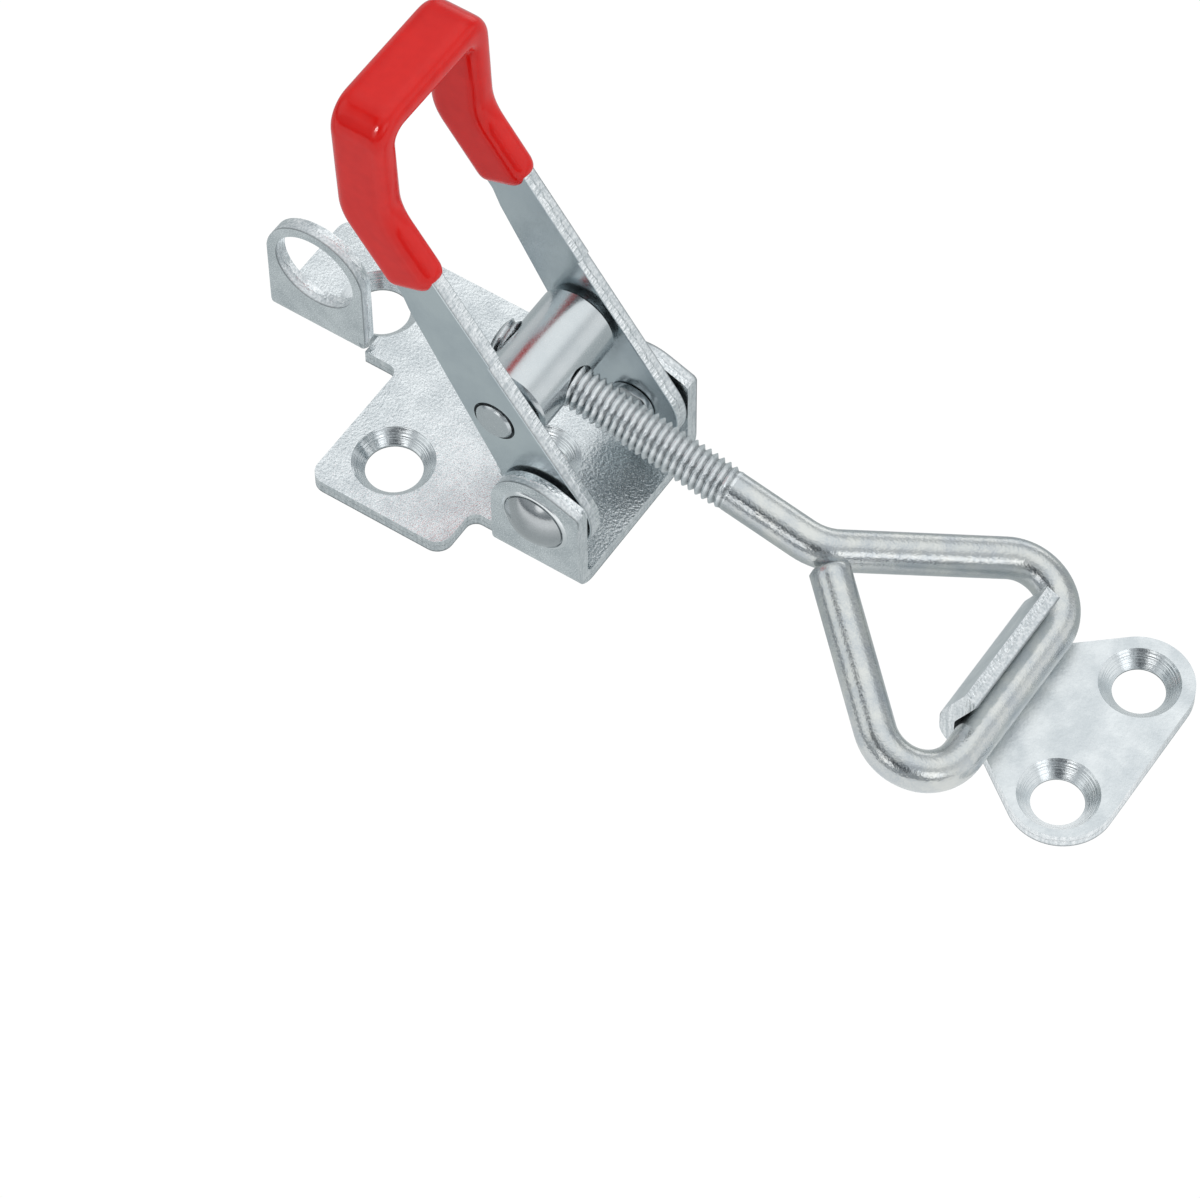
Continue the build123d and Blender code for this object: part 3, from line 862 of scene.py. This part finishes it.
studio = {"floorHalf": 1.6, "floorDrop": 0.00005, "floorSeen": (1.0, 1.0, 1.0), "floorStrength": 1.02,
          "reflectedFloorShade": (0.52, 0.56, 0.57), "floorDiffuse": (0.76, 0.76, 0.76),
          "floorGlow": (1.0, 1.02, 1.03),
          # the floor's reflection carries painted shade near the part, and brightens this way, from the
          # first distance to the second
          "glowTowards": (0.5, -0.85, 0.0), "glowStart": 0.020, "glowEnd": 0.048,
          # the tent's tone from the bottom up: the height as a share of the whole tent, then the colour
          "sky": [(0.48, (0.10, 0.12, 0.14)), (0.60, (0.40, 0.43, 0.45)), (0.80, (0.62, 0.65, 0.67))],
          # each card: where it stands, the degrees it fills, the degrees where it has faded, its colour
          "cards": [((0.08, 0.30, 0.95), 18, 43, (1.15, 1.175, 1.185)),
                    ((0.36, 0.93, 0.02), 12, 42, (0.44, 0.47, 0.49)),
                    ((0.90, 0.44, 0.12), 14, 40, (0.98, 1.0, 1.01)),
                    ((-0.14, 0.97, 0.10), 8, 24, (1.3, 1.32, 1.33)),
                    ((-0.34, -0.48, 0.81), 8, 17, (0.05, 0.06, 0.07)),
                    ((-0.87, 0.47, 0.14), 8, 26, (0.75, 0.77, 0.78)),
                    ((-0.68, -0.46, 0.57), 12, 27, (1.02, 1.05, 1.06)),
                    ((0.03, -0.90, 0.43), 9, 14, (1.6, 1.6, 1.6)),
                    ((0.00, -0.69, 0.72), 7, 11, (0.04, 0.05, 0.06)),
                    ((0.86, -0.27, 0.43), 9, 17, (1.6, 1.62, 1.64)),
                    ((0.40, -0.68, 0.60), 10, 18, (0.10, 0.11, 0.12))],
          # a small softbox that lights the grip alone, for the gloss on its corners
          "glossFrom": (0.10, -0.78, 0.62), "glossDistance": 0.35, "glossSize": 0.075, "glossPower": 0.42}


def paleFloor():
    # white where the camera looks straight at it, and in the metal's reflections a grey with painted shade,
    # darkest at the part and lighter further off
    bm = bmesh.new()
    bmesh.ops.create_grid(bm, x_segments=1, y_segments=1, size=studio["floorHalf"])
    bmesh.ops.translate(bm, verts=bm.verts[:], vec=(0, 0, -studio["floorDrop"]))
    mesh = bpy.data.meshes.new("paleFloor")
    bm.to_mesh(mesh)
    bm.free()
    floor = bpy.data.objects.new("paleFloor", mesh)
    scene.collection.objects.link(floor)
    material, tree, shader = newMaterial("floorPaper")
    seen = addNode(tree, "ShaderNodeEmission",
                   [("Color", (*studio["floorSeen"], 1)), ("Strength", studio["floorStrength"])])
    reach = addNode(tree, "ShaderNodeVectorMath", [(0, objectVector(tree)), (1, studio["glowTowards"])],
                    operation="DOT_PRODUCT").outputs["Value"]
    # painted shade: the reflected floor is darkest at the part and lightens away from it towards the front
    tone = toneRamp(tree, mapValue(tree, reach, 0.0, 1.0, studio["glowStart"], studio["glowEnd"]),
                    [(0.0, studio["reflectedFloorShade"]), (1.0, studio["floorGlow"])])
    reflected = addNode(tree, "ShaderNodeEmission", [("Color", tone), ("Strength", 1.0)])
    scattered = addNode(tree, "ShaderNodeEmission",
                        [("Color", (*studio["floorDiffuse"], 1)), ("Strength", 1.0)])
    path = addNode(tree, "ShaderNodeLightPath")
    bounced = addNode(tree, "ShaderNodeMixShader", [(0, path.outputs["Is Diffuse Ray"]),
                                                    (1, reflected.outputs[0]), (2, scattered.outputs[0])])
    mixed = addNode(tree, "ShaderNodeMixShader", [(0, path.outputs["Is Camera Ray"]),
                                                  (1, bounced.outputs[0]), (2, seen.outputs[0])])
    tree.links.new(mixed.outputs[0], tree.nodes["Material Output"].inputs["Surface"])
    tree.nodes.remove(shader)
    mesh.materials.append(material)


def softSky():
    # a light tent: its tone by height, then pale and dark cards laid over it one by one
    world = bpy.data.worlds.new("lightTent")
    scene.world = world
    world.use_nodes = True
    tree = world.node_tree
    background = tree.nodes["Background"]
    direction = addNode(tree, "ShaderNodeTexCoord").outputs["Generated"]
    parts = addNode(tree, "ShaderNodeSeparateXYZ", [(0, direction)])
    tent = toneRamp(tree, mapValue(tree, parts.outputs["Z"], 0.0, 1.0, -1.0, 1.0), studio["sky"])
    for towards, solid, faded, colour in studio["cards"]:
        facing = addNode(tree, "ShaderNodeVectorMath",
                         [(0, direction), (1, Vector(towards).normalized())], operation="DOT_PRODUCT")
        cover = addNode(tree, "ShaderNodeMapRange",
                        [("Value", facing.outputs["Value"]), ("From Min", cos(radians(faded))),
                         ("From Max", cos(radians(solid)))], interpolation_type="SMOOTHSTEP")
        tent = mixColours(tree, cover.outputs["Result"], tent, (*colour, 1))
    tree.links.new(tent, background.inputs["Color"])
    background.inputs["Strength"].default_value = 1.0


def glossLight():
    lamp = bpy.data.lights.new("glossBox", "AREA")
    lamp.size = studio["glossSize"]
    lamp.energy = studio["glossPower"]
    box = bpy.data.objects.new("glossBox", lamp)
    scene.collection.objects.link(box)
    towards = Vector(studio["glossFrom"]).normalized()
    turn = towards.to_track_quat("Z", "Y").to_matrix().to_4x4()
    box.matrix_world = Matrix.Translation(gripLook["corner"] + towards * studio["glossDistance"]) @ turn
    lit = bpy.data.collections.new("glossyPieces")
    lit.objects.link(gripSleeve)
    box.light_linking.receiver_collection = lit
    box.visible_diffuse = False


view = {"place": Vector((235.22, -344.57, 573.47)) * mm, "target": Vector((9.263, -12.784, 0)) * mm,
        "right": Vector((0.83255, 0.55391, -0.00757)), "lens": 166.164, "filmWidth": 36.0,
        "clipStart": 0.01, "clipEnd": 20.0}


def photoCamera():
    # the place, the aim and the tilt were solved from the photo's edges, holes and rods
    data = bpy.data.cameras.new("photoCamera")
    data.sensor_fit = "HORIZONTAL"
    data.sensor_width = view["filmWidth"]
    data.lens = view["lens"]
    data.clip_start = view["clipStart"]
    data.clip_end = view["clipEnd"]
    camera = bpy.data.objects.new("photoCamera", data)
    scene.collection.objects.link(camera)
    back = (view["place"] - view["target"]).normalized()
    right = (view["right"] - back * view["right"].dot(back)).normalized()
    turn = Matrix((right, back.cross(right), back)).transposed().to_4x4()
    camera.matrix_world = Matrix.Translation(view["place"]) @ turn
    scene.camera = camera


paleFloor()
softSky()
glossLight()
photoCamera()
scene.view_settings.view_transform = "Standard"
print("stage set")
